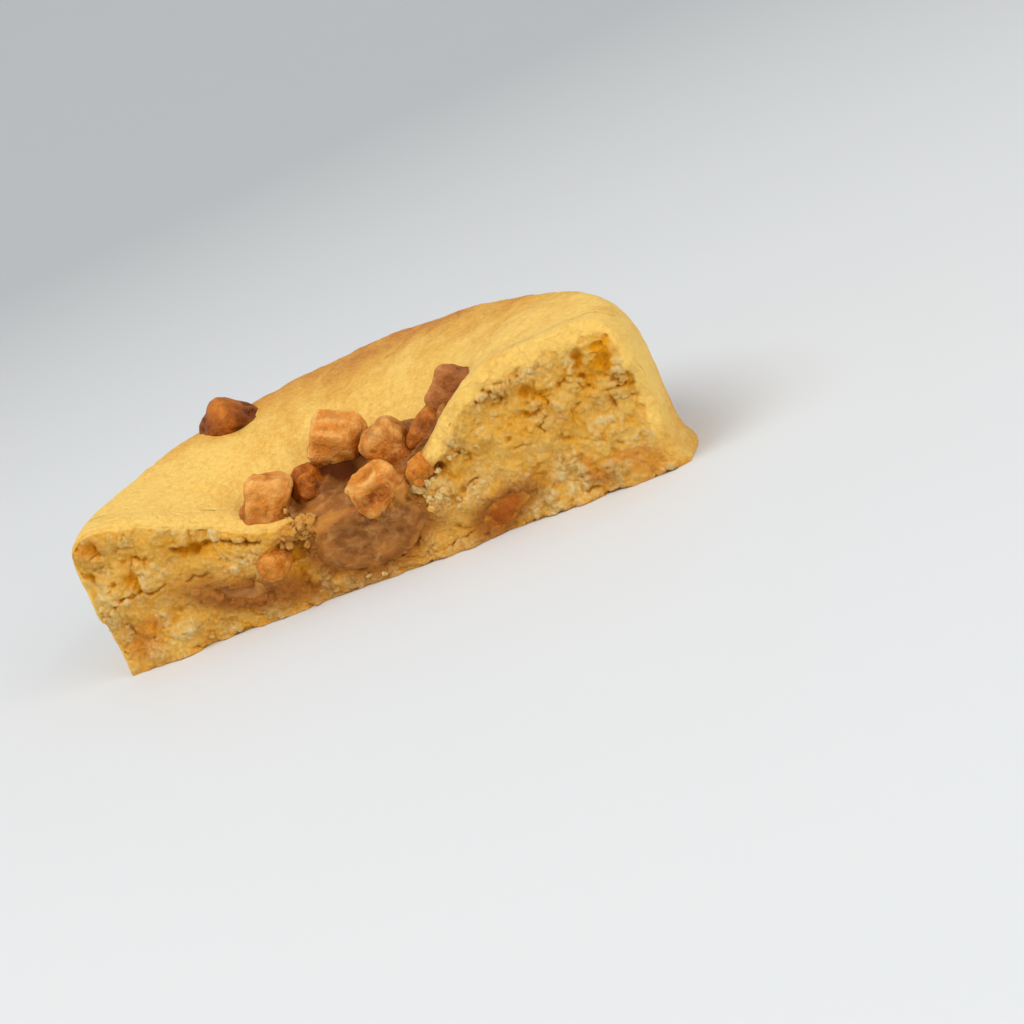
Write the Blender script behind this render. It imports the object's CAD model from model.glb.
import logging
import math
from dataclasses import dataclass, field
from enum import Enum

import bpy
import numpy as np
from mathutils import Matrix, Vector


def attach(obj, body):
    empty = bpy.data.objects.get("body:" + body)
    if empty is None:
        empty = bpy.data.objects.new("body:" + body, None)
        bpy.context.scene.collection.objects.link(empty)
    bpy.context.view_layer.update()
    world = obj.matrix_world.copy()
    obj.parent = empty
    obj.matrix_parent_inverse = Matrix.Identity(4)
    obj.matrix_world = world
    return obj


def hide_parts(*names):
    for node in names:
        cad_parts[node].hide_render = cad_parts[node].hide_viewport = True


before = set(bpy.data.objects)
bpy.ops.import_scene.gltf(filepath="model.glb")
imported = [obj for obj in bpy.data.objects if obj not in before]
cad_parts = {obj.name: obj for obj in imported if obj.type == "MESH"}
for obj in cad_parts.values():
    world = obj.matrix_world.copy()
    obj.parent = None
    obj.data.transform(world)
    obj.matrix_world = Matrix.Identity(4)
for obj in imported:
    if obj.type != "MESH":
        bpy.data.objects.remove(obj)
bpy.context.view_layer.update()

LOG = logging.getLogger("cookie_half")
MM = 0.001
LOW_BITS = 0xFFFFFFFF  # the last 32 bits of a whole number
WELD_STEPS = 2000  # steps to the mm; points that round to the same step are joined
FLOOR_SCALE = 500  # the floor is welded at this scale of metres, so that it fits the weld's range
FRAME_ORIGIN = np.array([0.7, 23.9, 0.0])  # the frame's origin, in mm from the middle of the break's foot


# Noise on arrays of points


def lattice(cell: np.ndarray, seed: int) -> np.ndarray:
    """Pseudo-random numbers from 0 to 1 for lattice points.

    The whole-number coordinates and the seed are multiplied by large odd numbers and added, and the
    bits of the sum are stirred twice.

    Args:
        cell: whole numbers, the last axis holding x, y and z.
        seed: picks one of many patterns.

    Returns:
        One number for each lattice point.
    """
    i, j, k = (cell[..., axis].astype(np.int64) for axis in range(3))
    bits = (i * 374761393 + j * 668265263 + k * 1442695041 + seed * 974634777) & LOW_BITS
    bits = ((bits ^ (bits >> 13)) * 1274126177) & LOW_BITS
    return (bits ^ (bits >> 16)) / float(LOW_BITS)


def ripple(points: np.ndarray, size: float, seed: int) -> np.ndarray:
    """Smooth noise from -1 to 1: lattice values blended by the smoothstep of each axis.

    Args:
        points: places in mm, the last axis holding x, y and z.
        size: the distance between lattice points in mm.
        seed: picks the pattern.

    Returns:
        One number for each place.
    """
    scaled = points / size
    cell = np.floor(scaled)
    part = scaled - cell
    ease = part * part * (3 - 2 * part)
    total = np.zeros(points.shape[:-1])
    for corner in np.ndindex(2, 2, 2):
        step = np.array(corner)
        total += np.where(step > 0, ease, 1 - ease).prod(axis=-1) * lattice(cell + step, seed)
    return 2 * total - 1


def cloud(points: np.ndarray, size: float, seed: int, octaves: int = 3) -> np.ndarray:
    """Noise with finer noise on it: each octave has half the size and half the height of the last."""
    parts = [ripple(points, size / 2**n, seed + 7 * n) / 2**n for n in range(octaves)]
    return sum(parts) / (2 - 2.0 ** (1 - octaves))


@dataclass
class Grains:
    """The nearest seeds of a jittered lattice: two distances in lattice steps, and the first one's tone."""

    first: np.ndarray
    second: np.ndarray
    tone: np.ndarray

    @property
    def dome(self) -> np.ndarray:
        """A rounded lump over each seed, one minus the squared distance, from 0 to 1."""
        return np.clip(1 - self.first**2, 0, 1)

    @property
    def seam(self) -> np.ndarray:
        """How near a place is to the crease between two lumps: 1 in it, 0 well inside a lump."""
        return np.exp(-(((self.second - self.first) / 0.16) ** 2))


def wander(points: np.ndarray, size: float, seed: int) -> np.ndarray:
    """Noise along each of the three axes, from -1 to 1."""
    return np.stack([ripple(points, size, seed + n) for n in range(3)], axis=-1)


def grains(points: np.ndarray, size: float, seed: int, warp: float = 0.35) -> Grains:
    """Sorts places by the seed points around them, one seed in each cell of a lattice.

    Each cell's seed is its middle moved by up to 0.4 of a step. The places are first bent by smooth noise.

    Args:
        points: places in mm.
        size: the lattice step in mm.
        seed: picks the pattern.
        warp: how far the places are bent, in lattice steps.

    Returns:
        The distances to the two nearest seeds, and the nearest one's tone.
    """
    scaled = points / size + warp * wander(points, size * 1.3, seed + 31)
    home = np.floor(scaled)
    first, second = np.full(len(points), 9.0), np.full(len(points), 9.0)
    tone = np.zeros(len(points))
    for shift in np.ndindex(3, 3, 3):
        cell = home + np.array(shift) - 1
        jitter = np.stack([lattice(cell, seed + n) for n in range(3)], axis=-1)
        distance = np.linalg.norm(cell + 0.1 + 0.8 * jitter - scaled, axis=-1)
        nearer = distance < first
        second = np.where(nearer, first, np.minimum(second, distance))
        tone = np.where(nearer, lattice(cell, seed + 3), tone)
        first = np.where(nearer, distance, first)
    return Grains(first, second, tone)


def smooth(value: np.ndarray, low: float, high: float) -> np.ndarray:
    """The smoothstep of a value from low, where it is 0, to high, where it is 1; low may be the larger."""
    share = np.clip((value - low) / (high - low), 0, 1)
    return share * share * (3 - 2 * share)


def spot(x: np.ndarray, z: np.ndarray, at: tuple[float, float, float, float]) -> np.ndarray:
    """A soft oval of height 1: the bell curve of x and z about a middle, with a half width and height."""
    return np.exp(-(((x - at[0]) / at[2]) ** 2) - ((z - at[1]) / at[3]) ** 2)


def path_distance(points: np.ndarray, path: np.ndarray) -> np.ndarray:
    """The distance from each point to a line of straight stretches, the least over the stretches.

    Args:
        points: places, one in a row.
        path: the line's corners, one in a row.

    Returns:
        One distance for each point.
    """
    least = np.full(len(points), np.inf)
    for start, end in zip(path[:-1], path[1:]):
        along = end - start
        share = np.clip(((points - start) @ along) / (along @ along), 0, 1)
        least = np.minimum(least, np.linalg.norm(points - start - share[:, None] * along, axis=1))
    return least


# Surfaces


@dataclass
class Skin:
    """A closed surface being shaped: its points in mm, its faces, and named values at the points.

    A face has four corners, and a three-sided one repeats its last. sheet says which grid a point came
    from.
    """

    points: np.ndarray
    faces: np.ndarray
    sheet: np.ndarray
    values: dict[str, np.ndarray] = field(default_factory=dict)

    @classmethod
    def weld(cls, sheets: list[np.ndarray]) -> "Skin":
        """Joins grids of points where they share places, and turns the faces outwards.

        Args:
            sheets: arrays of rows of points, each of which gives four-sided faces between its neighbours.

        Returns:
            The joined surface; faces that close to a line are left out.
        """
        points, faces, origin, count = [], [], [], 0
        for number, sheet in enumerate(sheets):
            rows, columns = sheet.shape[:2]
            index = np.arange(rows * columns).reshape(rows, columns) + count
            corners = [index[:-1, :-1], index[1:, :-1], index[1:, 1:], index[:-1, 1:]]
            faces.append(np.stack([corner.ravel() for corner in corners], axis=-1))
            points.append(sheet.reshape(-1, 3))
            origin.append(np.full(rows * columns, number))
            count += rows * columns
        points, faces, origin = np.concatenate(points), np.concatenate(faces), np.concatenate(origin)
        steps = np.round(points * WELD_STEPS).astype(np.int64) + 2**20
        keys = (steps[:, 0] << 42) + (steps[:, 1] << 21) + steps[:, 2]
        _, first, where = np.unique(keys, return_index=True, return_inverse=True)
        faces = where[faces]
        for corner in range(4):
            same = faces[:, corner] == faces[:, (corner + 1) % 4]
            order = [(corner + 1 + step) % 4 for step in range(4)]
            faces[same] = faces[same][:, order]
        faces[faces[:, 3] == faces[:, 0], 3] = faces[faces[:, 3] == faces[:, 0], 2]
        a, b, c = faces[:, 0], faces[:, 1], faces[:, 2]
        faces = faces[(a != b) & (b != c) & (a != c)]
        skin = cls(points[first], faces, origin[first])
        skin.outwards()
        return skin

    def normals(self) -> np.ndarray:
        """Unit normals: the cross product of each face's diagonals, added up at its corners.

        Returns:
            One direction for each point.
        """
        p, q = self.points, self.faces
        face = np.cross(p[q[:, 2]] - p[q[:, 0]], p[q[:, 3]] - p[q[:, 1]])
        each = np.repeat(face, 4, axis=0)
        total = np.stack([np.bincount(q.ravel(), each[:, axis], len(p)) for axis in range(3)], axis=-1)
        return total / np.maximum(np.linalg.norm(total, axis=1, keepdims=True), 1e-12)

    def swell(self, height: np.ndarray) -> None:
        """Moves each point along its normal by a height in mm."""
        self.points = self.points + self.normals() * np.asarray(height)[:, None]

    def rest_on_floor(self) -> None:
        """Lifts what has sunk under the floor back to it."""
        self.points[:, 2] = np.maximum(self.points[:, 2], 0.0)

    def outwards(self) -> None:
        """Turns the faces round if the volume that they enclose comes out negative."""
        p, q = self.points, self.faces
        face = np.cross(p[q[:, 2]] - p[q[:, 0]], p[q[:, 3]] - p[q[:, 1]])
        if float((face * p[q].mean(axis=1)).sum()) < 0:
            self.faces = self.faces[:, ::-1]

    def piece(
        self, name: str, slot: str, nodes: tuple[str, ...], finish: bpy.types.Material
    ) -> bpy.types.Object:
        """Makes the surface a Blender object that rides with the part.

        Args:
            name: the object's name.
            slot: the record's material slot that it takes its finish from.
            nodes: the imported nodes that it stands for.
            finish: its material.

        Returns:
            The object, at the origin, with its place in its mesh.
        """
        keep = np.ones(self.faces.shape, bool)
        keep[:, 1:] = self.faces[:, 1:] != self.faces[:, :-1]
        total = keep.sum(axis=1)
        mesh = bpy.data.meshes.new(name)
        mesh.vertices.add(len(self.points))
        mesh.vertices.foreach_set("co", ((self.points - FRAME_ORIGIN) * MM).astype(np.float32).ravel())
        mesh.loops.add(int(total.sum()))
        mesh.loops.foreach_set("vertex_index", self.faces[keep].astype(np.int32))
        mesh.polygons.add(len(self.faces))
        mesh.polygons.foreach_set("loop_start", (np.cumsum(total) - total).astype(np.int32))
        mesh.update(calc_edges=True)
        mesh.validate()
        mesh.polygons.foreach_set("use_smooth", np.ones(len(mesh.polygons), bool))
        for key, value in self.values.items():
            mesh.attributes.new(key, "FLOAT", "POINT").data.foreach_set("value", value.astype(np.float32))
        mesh.materials.append(finish)
        item = bpy.data.objects.new(name, mesh)
        bpy.context.scene.collection.objects.link(item)
        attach(item, "root")
        if nodes:
            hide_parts(*nodes)
        LOG.info("%s: %d points, %d faces", name, len(self.points), len(self.faces))
        return item


def box(line: np.ndarray) -> Skin:
    """A closed box from -1 to 1 along each axis, with a grid of points on each of its six sides.

    Args:
        line: where the grid's lines lie, from -1 to 1.

    Returns:
        The surface, of unit half width.
    """
    first, second = np.meshgrid(line, line, indexing="ij")
    sheets = []
    for axis in range(3):
        for sign in (1.0, -1.0):
            sheet = np.zeros((*first.shape, 3))
            sheet[..., axis] = sign
            sheet[..., (axis + 1) % 3], sheet[..., (axis + 2) % 3] = first, second
            sheets.append(sheet if sign > 0 else sheet.swapaxes(0, 1))
    return Skin.weld(sheets)


# Shaders


def srgb(red: int, green: int, blue: int) -> tuple[float, float, float, float]:
    """A colour given in 0 to 255 as a picture holds it, as the linear values that a shader takes.

    Args:
        red: the red part, 0 to 255.
        green: the green part.
        blue: the blue part.

    Returns:
        Linear red, green and blue, and an opacity of 1.
    """
    parts = [part / 255 for part in (red, green, blue)]
    linear = [p / 12.92 if p <= 0.04045 else ((p + 0.055) / 1.055) ** 2.4 for p in parts]
    return (linear[0], linear[1], linear[2], 1.0)


class Wire:
    """A shader socket that takes part in sums: each operator adds its Math node."""

    def __init__(self, tree: bpy.types.NodeTree, socket: bpy.types.NodeSocket) -> None:
        """Keeps the socket and the tree that its sums are added to."""
        self.tree = tree
        self.socket = socket

    def math(
        self, operation: str, *others: "Wire | float", swapped: bool = False, clamp: bool = False
    ) -> "Wire":
        """Adds a Math node on this socket.

        Args:
            operation: the Math node's operation.
            others: its further inputs, sockets or numbers.
            swapped: whether this socket comes second.
            clamp: whether the result is kept from 0 to 1.

        Returns:
            The node's result.
        """
        node = self.tree.nodes.new("ShaderNodeMath")
        node.operation = operation
        node.use_clamp = clamp
        inputs = [*others, self] if swapped else [self, *others]
        for socket, value in zip(node.inputs, inputs):
            if isinstance(value, Wire):
                self.tree.links.new(value.socket, socket)
            else:
                socket.default_value = value
        return Wire(self.tree, node.outputs[0])

    def __add__(self, other: "Wire | float") -> "Wire":
        """This plus another."""
        return self.math("ADD", other)

    __radd__ = __add__

    def __sub__(self, other: "Wire | float") -> "Wire":
        """This minus another."""
        return self.math("SUBTRACT", other)

    def __rsub__(self, other: float) -> "Wire":
        """A number minus this."""
        return self.math("SUBTRACT", other, swapped=True)

    def __mul__(self, other: "Wire | float") -> "Wire":
        """This times another."""
        return self.math("MULTIPLY", other)

    __rmul__ = __mul__

    def __pow__(self, other: float) -> "Wire":
        """This to a power."""
        return self.math("POWER", other)

    def clamped(self) -> "Wire":
        """This, kept from 0 to 1."""
        return self.math("ADD", 0.0, clamp=True)

    def step(self, low: float, high: float) -> "Wire":
        """A straight ramp of this: 0 at low, 1 at high, and level beyond."""
        return ((self - low) * (1 / (high - low))).clamped()


class Paint:
    """One material's node tree: a Principled shader and what feeds it."""

    def __init__(self, name: str) -> None:
        """Starts a material with an empty tree.

        Args:
            name: the material's name.
        """
        self.material = bpy.data.materials.new(name)
        self.material.use_nodes = True
        self.tree = self.material.node_tree
        self.tree.nodes.clear()
        self.place = self.node("ShaderNodeTexCoord", output="Object")

    def node(
        self, kind: str, settings: dict | None = None, inputs: dict | None = None, output: str | int = 0
    ) -> Wire:
        """Adds any node.

        Args:
            kind: the node's type.
            settings: its properties, set first; "stops" holds a colour ramp's places and colours.
            inputs: values or wires for its sockets, by name or number.
            output: the socket that is wanted.

        Returns:
            That output socket.
        """
        node = self.tree.nodes.new(kind)
        for key, value in (settings or {}).items():
            if key == "stops":
                for number, (at, colour) in enumerate(value):
                    stops = node.color_ramp.elements
                    stop = stops[number] if number < len(stops) else stops.new(at)
                    stop.position, stop.color = at, colour
            else:
                setattr(node, key, value)
        for key, value in (inputs or {}).items():
            if isinstance(value, Wire):
                self.tree.links.new(value.socket, node.inputs[key])
            else:
                node.inputs[key].default_value = value
        return Wire(self.tree, node.outputs[output])

    def value(self, name: str) -> Wire:
        """A named value of the piece's points."""
        return self.node("ShaderNodeAttribute", {"attribute_name": name}, output="Fac")

    def noise(
        self,
        size: float,
        detail: float = 2.0,
        bend: float = 0.0,
        stretch: tuple[float, float, float] = (1, 1, 1),
        rough: float = 0.5,
    ) -> Wire:
        """Noise from 0 to 1 with features of a size in mm, on object coordinates.

        Args:
            size: the features' size in mm.
            detail: how many finer layers it has.
            bend: how much it is distorted.
            stretch: scale factors of the three axes; a smaller one draws the features out along it.
            rough: how strong the finer layers are.

        Returns:
            The noise.
        """
        at = self.node("ShaderNodeMapping", inputs={"Vector": self.place, "Scale": stretch})
        inputs = {"Vector": at, "Scale": 1 / (size * MM), "Detail": detail, "Distortion": bend}
        inputs["Roughness"] = rough
        return self.node("ShaderNodeTexNoise", inputs=inputs, output="Fac")

    def cells(self, size: float, wanted: str = "Distance", feature: str = "F1") -> Wire:
        """Cellular noise with cells of a size in mm, on object coordinates."""
        inputs = {"Vector": self.place, "Scale": 1 / (size * MM)}
        return self.node("ShaderNodeTexVoronoi", {"feature": feature}, inputs, wanted)

    def mix(self, share: "Wire | float", first: "Wire | tuple", second: "Wire | tuple") -> Wire:
        """Blends two colours: the first where share is 0 and the second where it is 1."""
        settings = {"data_type": "RGBA", "blend_type": "MIX"}
        return self.node("ShaderNodeMix", settings, {0: share, 6: first, 7: second}, 2)

    def bump(self, height: Wire, depth: float, strength: float = 1.0) -> Wire:
        """Relief from a height, where 1 stands depth mm over 0."""
        inputs = {"Height": height, "Distance": depth * MM, "Strength": strength}
        return self.node("ShaderNodeBump", inputs=inputs)

    def finish(self, inputs: dict) -> bpy.types.Material:
        """Closes the tree with a Principled shader that has these inputs.

        Args:
            inputs: values or wires for the Principled shader's sockets.

        Returns:
            The material.
        """
        shader = self.node("ShaderNodeBsdfPrincipled", {"subsurface_method": "RANDOM_WALK"}, inputs)
        out = self.tree.nodes.new("ShaderNodeOutputMaterial")
        self.tree.links.new(shader.socket, out.inputs["Surface"])
        return self.material


# The cookie's form


@dataclass(frozen=True)
class CookieForm:
    """The half cookie as rules for its surfaces, in mm from the middle of the break's foot.

    +X runs along the break to the right, +Y away from it and +Z up.
    """

    half_cut: float = 41.5
    depth: float = 48.5
    crest: tuple[float, float, float] = (22.2, 22.5, 22.9)  # the rim's height left, right and back
    shoulder_run: float = 6.0
    shoulder_drop: tuple[float, float] = (6.0, 10.0)  # left and right
    shoulder_power: float = 2 / 2.4
    flare: float = 1.3
    tuck: float = 0.5
    belly: float = 0.04
    bowl_depth: float = 10.4
    bowl_reach: tuple[float, float, float] = (26.0, 15.2, 17.8)  # left, right and back
    worn_edge: float = 0.7
    wave: float = 0.5  # height of the top's soft waves
    wave_size: float = 9.0
    wave_seed: int = 37
    sag: float = 0.5  # how far the top has sunk at the break over the core

    @property
    def shoulder_start(self) -> float:
        """The share of the way out at which the shoulder begins."""
        return 1 - self.shoulder_run / self.half_cut

    def crest_height(self, x: np.ndarray, y: np.ndarray) -> np.ndarray:
        """The rim's height: a plane through its heights at the left, the right and the back.

        Args:
            x: places along the break, in mm.
            y: places away from the break, in mm.

        Returns:
            The heights, in mm.
        """
        left, right, back = self.crest
        middle = (left + right) / 2
        return middle + (right - left) / 2 * x / self.half_cut + (back - middle) * y / self.depth

    def bowl(self, x: np.ndarray, y: np.ndarray) -> np.ndarray:
        """The bowl's depth: its greatest depth times e to minus a power of x and a power of y.

        Args:
            x: places along the break, in mm.
            y: places away from the break, in mm.

        Returns:
            The depths, in mm.
        """
        left, right, back = self.bowl_reach
        across = np.abs(x) / np.where(x < 0, left, right)
        return self.bowl_depth * np.exp(-(across**3.2) - (np.abs(y) / back) ** 2.6)

    def right_share(self, u: np.ndarray, v: np.ndarray) -> np.ndarray:
        """How far to the right a plan direction points, from 0 to 1: half of one plus its cosine."""
        return 0.5 + 0.5 * u / np.maximum(np.hypot(u, v), 1e-9)

    def crust(self, u: np.ndarray, v: np.ndarray) -> np.ndarray:
        """The crust's points over unit plan coordinates.

        The height is the rim's, less the bowl and the shoulder. The shoulder is a rounded corner along the
        last stretch of the radius: its reach is a power of the sine and its drop a power of the cosine.

        Args:
            u: the plan coordinate along the break, -1 to 1.
            v: the plan coordinate away from the break, 0 to 1.

        Returns:
            The points, in mm.
        """
        rho = np.minimum(np.hypot(u, v), 1)
        start = self.shoulder_start
        angle = np.maximum(rho - start, 0) / (1 - start) * (math.pi / 2)
        reach = np.where(rho < start, rho, start + (1 - start) * np.sin(angle) ** self.shoulder_power)
        scale = np.where(rho > 1e-9, reach / np.maximum(rho, 1e-9), 1)
        x, y = u * scale * self.half_cut, v * scale * self.depth
        left, right = self.shoulder_drop
        drop = left + (right - left) * self.right_share(u, v)
        shoulder = drop * (1 - np.maximum(np.cos(angle), 0) ** self.shoulder_power)
        inside = 1 - rho**6
        flat = np.stack([x, y, np.zeros_like(x)], axis=-1)
        wave = self.wave * inside * ripple(flat, self.wave_size, self.wave_seed)
        height = self.crest_height(x, y) - self.bowl(x, y) - shoulder + wave - self.worn(y) * inside
        return np.stack([x, y, height], axis=-1)

    def foot(self, share: np.ndarray, up: np.ndarray) -> np.ndarray:
        """How far the side stands out at a share of its height: flared on the right, tucked on the left."""
        return share * self.flare * (1 - up) ** 7 - (1 - share) * self.tuck * (1 - up) ** 1.4

    def side(self, u: np.ndarray, v: np.ndarray, up: np.ndarray) -> np.ndarray:
        """The side's points: the crust's rim let down to a share of its height, moved out by the foot.

        Args:
            u: the plan coordinate along the break, -1 to 1.
            v: the plan coordinate away from the break, 0 to 1.
            up: the share of the height, 0 at the floor and 1 at the rim.

        Returns:
            The points, in mm.
        """
        rim = self.crust(u, v)
        out = self.foot(self.right_share(u, v), up)
        return np.stack([rim[..., 0] + u * out, rim[..., 1] + v * out, rim[..., 2] * up], axis=-1)

    def base(self, u: np.ndarray, v: np.ndarray) -> np.ndarray:
        """The underside's points: the plan with the foot's reach at the floor."""
        out = self.foot(self.right_share(u, v), np.zeros_like(u))
        return np.stack([u * (self.half_cut + out), v * (self.depth + out), np.zeros_like(u)], axis=-1)

    def face(self, s: np.ndarray, up: np.ndarray) -> np.ndarray:
        """The broken face's points before its relief, between the foot line and the crust's edge.

        Args:
            s: the share of the way from the middle to the side, -1 to 1.
            up: the share of the height, 0 at the floor and 1 at the rim.

        Returns:
            The points, in mm.
        """
        top = self.crust(s, np.zeros_like(s))
        x = self.half_cut * s * (1 - up) + top[..., 0] * up + s * self.foot(self.right_share(s, 0 * s), up)
        return np.stack([x, np.zeros_like(x), top[..., 2] * up], axis=-1)

    def grown(self, y: np.ndarray) -> np.ndarray:
        """How much wider the cookie is than at the break: one plus a share that grows to the belly's."""
        return 1 + self.belly * (1 - np.exp(-((y / 6) ** 2)))

    def worn(self, y: np.ndarray) -> np.ndarray:
        """How much lower the crust's edge lies near the break, in mm."""
        return self.worn_edge * np.exp(-((y / 1.4) ** 2))

    def swollen(self, points: np.ndarray) -> np.ndarray:
        """Widens what lies behind the break."""
        x, y, z = points[..., 0], points[..., 1], points[..., 2]
        return np.stack([x * self.grown(y), y, z], axis=-1)

    def ground(self, x: np.ndarray, y: np.ndarray) -> np.ndarray:
        """The crust's height over a place in the bowl or on the flat of the rim, in mm.

        Args:
            x: places along the break, in mm.
            y: places away from the break, in mm.

        Returns:
            The heights.
        """
        narrow = x / self.grown(y)
        flat = np.stack([narrow, y, np.zeros_like(x)], axis=-1)
        wave = self.wave * ripple(flat, self.wave_size, self.wave_seed)
        return self.crest_height(narrow, y) - self.bowl(narrow, y) + wave - self.worn(y)

    def slid(self, points: np.ndarray, shift: np.ndarray) -> np.ndarray:
        """Moves points near the break back along the outside.

        The width goes by the plan's ellipse and its growth, and the height by the difference of the
        ground's heights, which fades out over the shoulder as the crust's waves do.

        Args:
            points: places on the outside, in mm.
            shift: how far each goes back, in mm.

        Returns:
            The moved points.
        """
        x, y, z = points.T
        near = np.clip(y, 0, 20)
        behind = np.maximum(near + shift, 0)
        narrower = np.sqrt((1 - (behind / self.depth) ** 2) / (1 - (near / self.depth) ** 2))
        moved = x * narrower * self.grown(behind) / self.grown(near)
        start = self.shoulder_start
        reach = np.hypot(x / self.grown(near) / self.half_cut, near / self.depth)
        turned = np.clip((reach - start) / (1 - start), 0, 1) ** (1 / self.shoulder_power)
        opened = start + (1 - start) * np.arcsin(turned) * 2 / math.pi
        inside = 1 - np.where(reach < start, reach, opened) ** 6
        rise = (self.ground(moved, behind) - self.ground(x, near)) * inside
        return np.stack([moved, y + shift, z + rise * smooth(SKIRTING.under(x, z), 2.5, 0.5)], axis=-1)

    def melt(self, x: np.ndarray) -> np.ndarray:
        """How much of the crust's edge has given way to caramel: 1 over the core, 0 at either side."""
        return smooth(x, -11.5, -8.0) * smooth(x, 8.5, 5.5)

    def sunk(self, x: np.ndarray, y: np.ndarray) -> np.ndarray:
        """How far the top has sunk near the break over the core, in mm."""
        return self.sag * self.melt(x) * np.exp(-((y / 2.5) ** 2))

    def lumps(self, x: np.ndarray, z: np.ndarray) -> np.ndarray:
        """How far the break stands out in broad lumps, in mm."""
        flat = np.stack([x, np.zeros_like(x), z], axis=-1)
        return 0.9 * ripple(flat, 5.5, 11) + 0.45 * ripple(flat, 1.9, 23)


def half_disc(s: np.ndarray, t: np.ndarray) -> tuple[np.ndarray, np.ndarray]:
    """A square grid's points as those of a unit half disc, by the elliptical mapping of a square."""
    return s * np.sqrt(1 - t * t / 2), t * np.sqrt(1 - s * s / 2)


FORM = CookieForm()


@dataclass(frozen=True)
class Pit:
    """A hollow in the broken face: its middle, half width, half height and depth in mm."""

    x: float
    z: float
    wide: float
    high: float
    deep: float

    def depth(self, x: np.ndarray, z: np.ndarray) -> np.ndarray:
        """How deep it is at a place of the break."""
        return self.deep * spot(x, z, (self.x, self.z, self.wide, self.high))


PITS = (
    Pit(-32.8, 15.0, 1.3, 0.8, 2.0), Pit(-34.5, 12.2, 0.8, 1.6, 2.1), Pit(-37.6, 18.5, 0.7, 0.9, 1.4),
    Pit(-33.9, 17.6, 0.8, 0.5, 1.0), Pit(-37.3, 13.2, 0.6, 0.5, 1.0), Pit(-36.6, 15.4, 0.5, 0.6, 0.7),
    Pit(-38.3, 6.3, 0.6, 0.8, 0.8), Pit(-36.6, 4.2, 0.9, 0.7, 0.9), Pit(-30.4, 6.6, 0.6, 0.5, 0.8),
    Pit(-12.1, 3.9, 0.9, 2.2, 1.9), Pit(-13.6, 8.9, 1.3, 0.8, 1.6), Pit(-10.4, 8.0, 0.8, 0.8, 1.2),
    Pit(20.3, 18.0, 1.0, 0.5, 1.2), Pit(22.6, 17.2, 1.2, 0.6, 1.5), Pit(26.4, 16.6, 0.9, 0.8, 1.6),
    Pit(28.3, 15.7, 1.0, 0.9, 1.9), Pit(25.8, 13.9, 1.6, 0.5, 1.4), Pit(31.6, 16.1, 0.8, 0.6, 1.3),
    Pit(34.3, 17.9, 0.5, 0.9, 1.5), Pit(37.6, 16.6, 0.7, 1.0, 1.7), Pit(38.2, 14.0, 0.6, 0.8, 1.6),
    Pit(36.2, 11.4, 0.5, 0.8, 1.1), Pit(33.5, 7.7, 0.5, 0.4, 0.7), Pit(22.0, 12.1, 0.7, 0.4, 0.9),
    Pit(28.4, 9.2, 1.1, 0.3, 0.8), Pit(14.4, 12.9, 0.8, 0.7, 1.3), Pit(12.9, 10.0, 0.7, 0.9, 1.2),
    Pit(11.5, 11.9, 1.5, 0.7, 2.2), Pit(24.2, 7.2, 0.9, 0.3, 0.7), Pit(31.2, 12.1, 0.5, 0.6, 0.8),
    Pit(35.1, 6.2, 0.7, 0.3, 0.7),
)
MOUNDS = (  # x, z, half width and height of heaps of pale crumbs
    (14.4, 13.8, 2.0, 1.4), (9.8, 8.4, 1.7, 1.6), (12.0, 9.6, 1.2, 0.9), (-18.4, 9.7, 2.0, 1.2),
    (-16.4, 7.6, 1.0, 1.3), (-39.0, 5.8, 1.0, 1.0), (-30.0, 3.6, 1.6, 1.0), (-4.5, 0.9, 3.6, 0.7),
    (-9.4, 10.7, 1.8, 1.0), (26.0, 19.0, 4.0, 0.8),
)
CRACK = np.array([  # the long crack's course
    [-27.4, 0, 14.8], [-25.0, 0, 13.5], [-22.4, 0, 14.1],
    [-19.6, 0, 13.2], [-17.2, 0, 11.9], [-15.6, 0, 11.8],
])
COMPACT = (  # x, z, half width and height of the places where the crumb is dense and smooth
    (20.5, 10.6, 10.0, 4.0), (-24.5, 10.6, 7.5, 2.3), (12.0, 3.5, 7.0, 2.6),
)


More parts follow.
